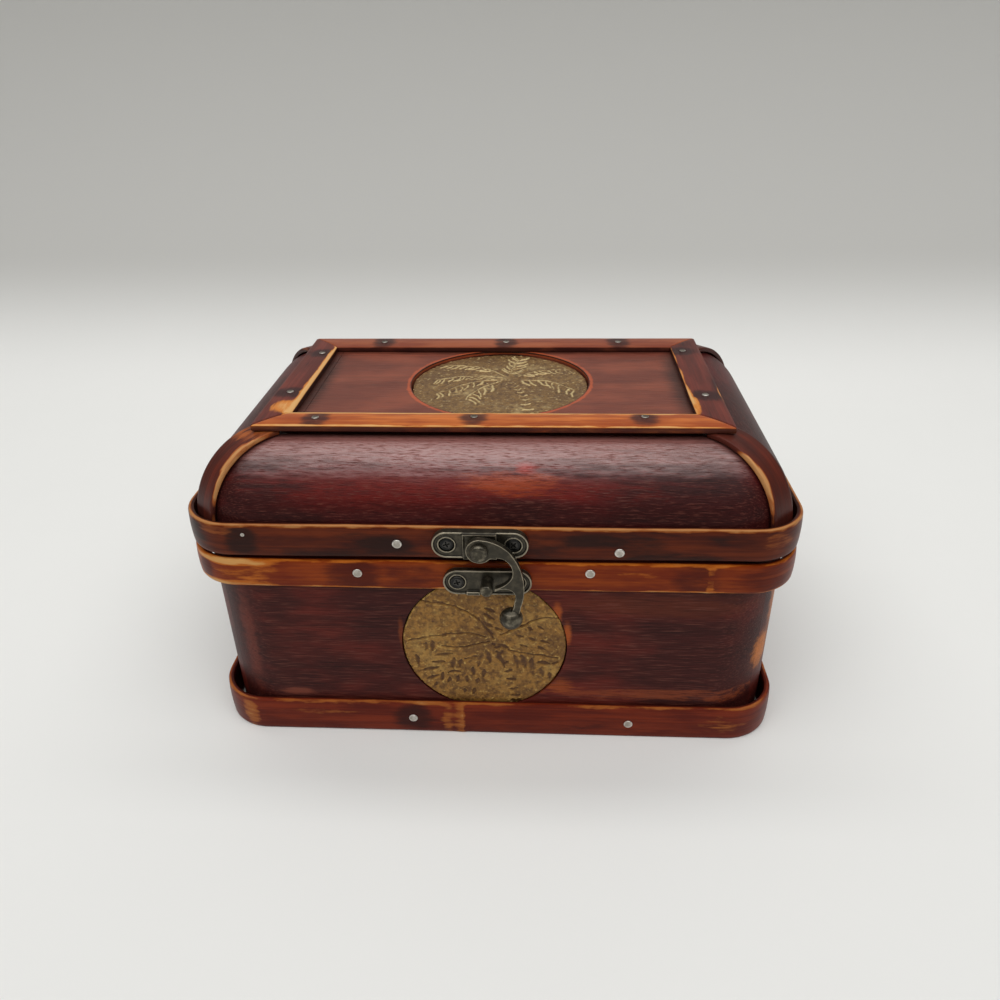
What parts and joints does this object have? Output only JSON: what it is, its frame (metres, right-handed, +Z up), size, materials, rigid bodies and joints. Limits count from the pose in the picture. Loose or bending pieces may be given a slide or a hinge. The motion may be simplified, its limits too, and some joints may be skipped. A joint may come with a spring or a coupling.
{
  "type": "keepsake box",
  "caption": "Stained wooden keepsake box bound with bent bamboo strips, with a rolled lid on rear hinges, gilt palm medallions and a swing-hook latch.",
  "frame": {"origin": "middle of the underside, where the box rests", "axes": "+X to the right along the front, +Y to the back, +Z up; the latch is on the -Y side"},
  "size_m": [0.221, 0.161, 0.1226],
  "materials": {
    "stained_wood": "dark red-brown stain, satin varnish, worn at the edges",
    "scorched_bamboo": "amber stain, scorched patches, satin varnish",
    "antique_gold": "gold paint over a carved relief, brown glaze in the grooves",
    "antique_bronze": "dark antique bronze, rubbed bright at the edges",
    "nail_steel": "bright flat heads",
    "black_screw_steel": "blackened"
  },
  "bodies": {
    "base": {"base_back_board": "stained_wood", "base_bottom_board": "stained_wood", "base_foot_band": "scorched_bamboo", "base_front_board": "stained_wood", "base_left_board": "stained_wood", "base_right_board": "stained_wood", "base_rim_band": "scorched_bamboo", "foot_band_nails": "nail_steel", "front_medallion": "antique_gold", "hinge_base_leaf_left": "antique_bronze", "hinge_base_leaf_right": "antique_bronze", "hinge_base_screws": "black_screw_steel", "hinge_pin_left": "antique_bronze", "hinge_pin_right": "antique_bronze", "keeper_plate": "antique_bronze", "keeper_screws": "black_screw_steel", "keeper_stud": "antique_bronze", "rim_band_nails": "nail_steel"},
    "lid": {"frame_strip_back": "scorched_bamboo", "frame_strip_front": "scorched_bamboo", "frame_strip_left": "scorched_bamboo", "frame_strip_nails": "nail_steel", "frame_strip_right": "scorched_bamboo", "hinge_lid_leaf_left": "antique_bronze", "hinge_lid_leaf_right": "antique_bronze", "hinge_lid_screws": "black_screw_steel", "hip_strap_back_left": "scorched_bamboo", "hip_strap_back_right": "scorched_bamboo", "hip_strap_front_left": "scorched_bamboo", "hip_strap_front_right": "scorched_bamboo", "latch_plate": "antique_bronze", "latch_plate_screws": "black_screw_steel", "latch_rivet": "antique_bronze", "lid_back_moulding": "stained_wood", "lid_band": "scorched_bamboo", "lid_band_nails": "nail_steel", "lid_front_moulding": "stained_wood", "lid_left_moulding": "stained_wood", "lid_panel_end_strip": "stained_wood", "lid_right_moulding": "stained_wood", "lid_top_panel": "stained_wood", "top_medallion": "antique_gold"},
    "latch_hook": {"latch_hook": "antique_bronze"}
  },
  "joints": [
    {"name": "lid_hinge", "type": "hinge", "parent": "base", "child": "lid", "pos_m": [0, 0.07505, 0.08185], "axis": [-1, 0, 0], "range_deg": [0, 105]},
    {"name": "hook_swing", "type": "hinge", "parent": "lid", "child": "latch_hook", "pos_m": [-0.0023, -0.0787, 0.0901], "axis": [0, -1, 0], "range_deg": [0, 110]}
  ]
}
